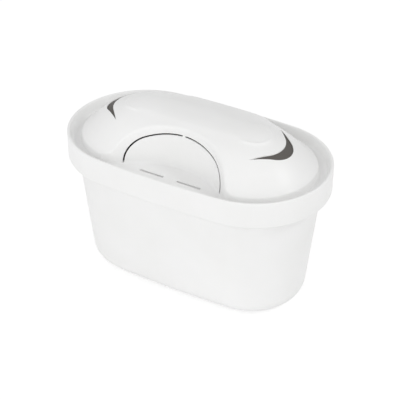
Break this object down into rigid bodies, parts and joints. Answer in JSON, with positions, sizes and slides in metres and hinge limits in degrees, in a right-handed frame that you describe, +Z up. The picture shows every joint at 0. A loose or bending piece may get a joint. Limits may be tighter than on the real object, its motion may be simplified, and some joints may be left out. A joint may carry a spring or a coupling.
{
  "type": "water pitcher filter cartridge",
  "caption": "White oval water pitcher filter cartridge with a domed lid, a finger recess and crescent vents.",
  "frame": {"origin": "middle of the flat base, on the surface that the cartridge stands on", "axes": "+X along the long axis to the right end, +Y to the long side away from the finger recess, +Z up through the domed lid"},
  "size_m": [0.107, 0.0608, 0.0705],
  "materials": {
    "white_plastic": "satin",
    "screen_mesh": "matte",
    "vent_mesh": "matte",
    "filter_granules": "matte"
  },
  "bodies": {
    "root": {"cup": "white_plastic", "lid": "white_plastic", "inlet_screen_front": "screen_mesh", "inlet_screen_back": "screen_mesh", "vent_screen_left": "vent_mesh", "vent_screen_right": "vent_mesh", "outlet_screen": "screen_mesh", "filter_media": "filter_granules"}
  },
  "joints": []
}
